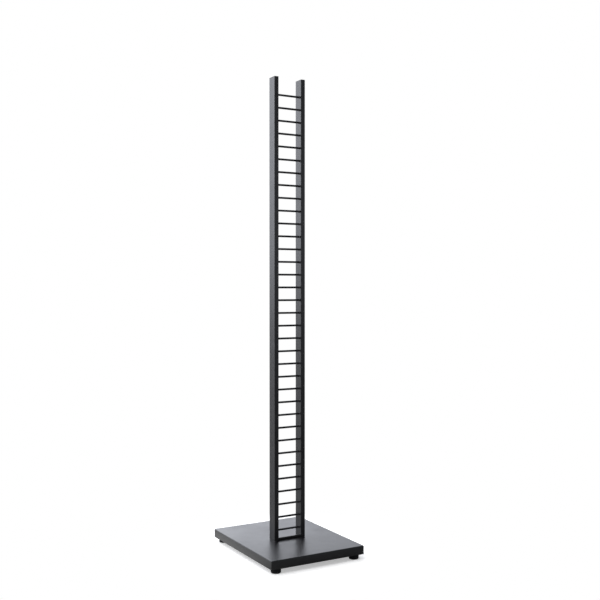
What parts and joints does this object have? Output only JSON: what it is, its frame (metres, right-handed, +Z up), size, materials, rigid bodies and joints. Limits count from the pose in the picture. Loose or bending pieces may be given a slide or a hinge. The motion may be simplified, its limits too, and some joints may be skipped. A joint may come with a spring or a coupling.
{
  "type": "ladder display stand",
  "caption": "Tall free-standing ladder-type display stand: narrow rectangular-tube uprights, round rungs at an even pitch, flat rectangular base tray and screw-adjusted levelling feet.",
  "frame": {"origin": "on the floor, under the middle of the base tray", "axes": "+Z up along the uprights; X along the rungs, +X to the right seen from the front; -Y towards the front, where the rungs and the foot bar sit"},
  "size_m": [0.4, 0.5, 1.857],
  "materials": {
    "powder_coat": "satin black powder coat with a very fine grain",
    "bare_steel": "bare mild steel, hidden inside the uprights",
    "zinc_steel": "bright zinc plate",
    "plug_plastic": "moulded black polyethylene",
    "foot_plastic": "moulded black nylon"
  },
  "bodies": {
    "stand": {"base_tray": "powder_coat", "ladder_plate": "powder_coat", "foot_bar": "powder_coat", "upright_left": "powder_coat", "upright_right": "powder_coat", "rung_01": "powder_coat", "rung_02": "powder_coat", "rung_03": "powder_coat", "rung_04": "powder_coat", "rung_05": "powder_coat", "rung_06": "powder_coat", "rung_07": "powder_coat", "rung_08": "powder_coat", "rung_09": "powder_coat", "rung_10": "powder_coat", "rung_11": "powder_coat", "rung_12": "powder_coat", "rung_13": "powder_coat", "rung_14": "powder_coat", "rung_15": "powder_coat", "rung_16": "powder_coat", "rung_17": "powder_coat", "rung_18": "powder_coat", "rung_19": "powder_coat", "rung_20": "powder_coat", "rung_21": "powder_coat", "rung_22": "powder_coat", "rung_23": "powder_coat", "rung_24": "powder_coat", "rung_25": "powder_coat", "rung_26": "powder_coat", "rung_27": "powder_coat", "rung_28": "powder_coat", "rung_29": "powder_coat", "rung_30": "powder_coat", "rung_31": "powder_coat", "rung_32": "powder_coat", "rung_33": "powder_coat", "rung_34": "powder_coat", "rung_35": "powder_coat", "foot_bracket_fl": "powder_coat", "foot_bracket_fr": "powder_coat", "foot_bracket_bl": "powder_coat", "foot_bracket_br": "powder_coat", "foot_block_left": "bare_steel", "foot_block_right": "bare_steel", "ladder_bolts": "zinc_steel", "ladder_washers": "zinc_steel", "foot_nuts": "zinc_steel", "top_plug_left": "plug_plastic", "top_plug_right": "plug_plastic"},
    "pad_fl": {"foot_pad_fl": "foot_plastic"},
    "stud_fl": {"foot_stud_fl": "zinc_steel"},
    "pad_fr": {"foot_pad_fr": "foot_plastic"},
    "stud_fr": {"foot_stud_fr": "zinc_steel"},
    "pad_bl": {"foot_pad_bl": "foot_plastic"},
    "stud_bl": {"foot_stud_bl": "zinc_steel"},
    "pad_br": {"foot_pad_br": "foot_plastic"},
    "stud_br": {"foot_stud_br": "zinc_steel"}
  },
  "joints": [
    {"name": "foot_fl_extend", "type": "slide", "parent": "stand", "child": "pad_fl", "axis": [0, 0, -1], "range_m": [0, 0.008]},
    {"name": "foot_fl_turn", "type": "hinge", "parent": "pad_fl", "child": "stud_fl", "pos_m": [-0.169, -0.225, 0.023], "axis": [0, 0, -1], "range_deg": [0, 1920]},
    {"name": "foot_fr_extend", "type": "slide", "parent": "stand", "child": "pad_fr", "axis": [0, 0, -1], "range_m": [0, 0.008]},
    {"name": "foot_fr_turn", "type": "hinge", "parent": "pad_fr", "child": "stud_fr", "pos_m": [0.169, -0.225, 0.023], "axis": [0, 0, -1], "range_deg": [0, 1920]},
    {"name": "foot_bl_extend", "type": "slide", "parent": "stand", "child": "pad_bl", "axis": [0, 0, -1], "range_m": [0, 0.008]},
    {"name": "foot_bl_turn", "type": "hinge", "parent": "pad_bl", "child": "stud_bl", "pos_m": [-0.169, 0.225, 0.023], "axis": [0, 0, -1], "range_deg": [0, 1920]},
    {"name": "foot_br_extend", "type": "slide", "parent": "stand", "child": "pad_br", "axis": [0, 0, -1], "range_m": [0, 0.008]},
    {"name": "foot_br_turn", "type": "hinge", "parent": "pad_br", "child": "stud_br", "pos_m": [0.169, 0.225, 0.023], "axis": [0, 0, -1], "range_deg": [0, 1920]}
  ],
  "couplings": [
    {"joint": "foot_fl_extend", "follows": "foot_fl_turn", "m_per_rad": 0.00023873},
    {"joint": "foot_fr_extend", "follows": "foot_fr_turn", "m_per_rad": 0.00023873},
    {"joint": "foot_bl_extend", "follows": "foot_bl_turn", "m_per_rad": 0.00023873},
    {"joint": "foot_br_extend", "follows": "foot_br_turn", "m_per_rad": 0.00023873}
  ]
}
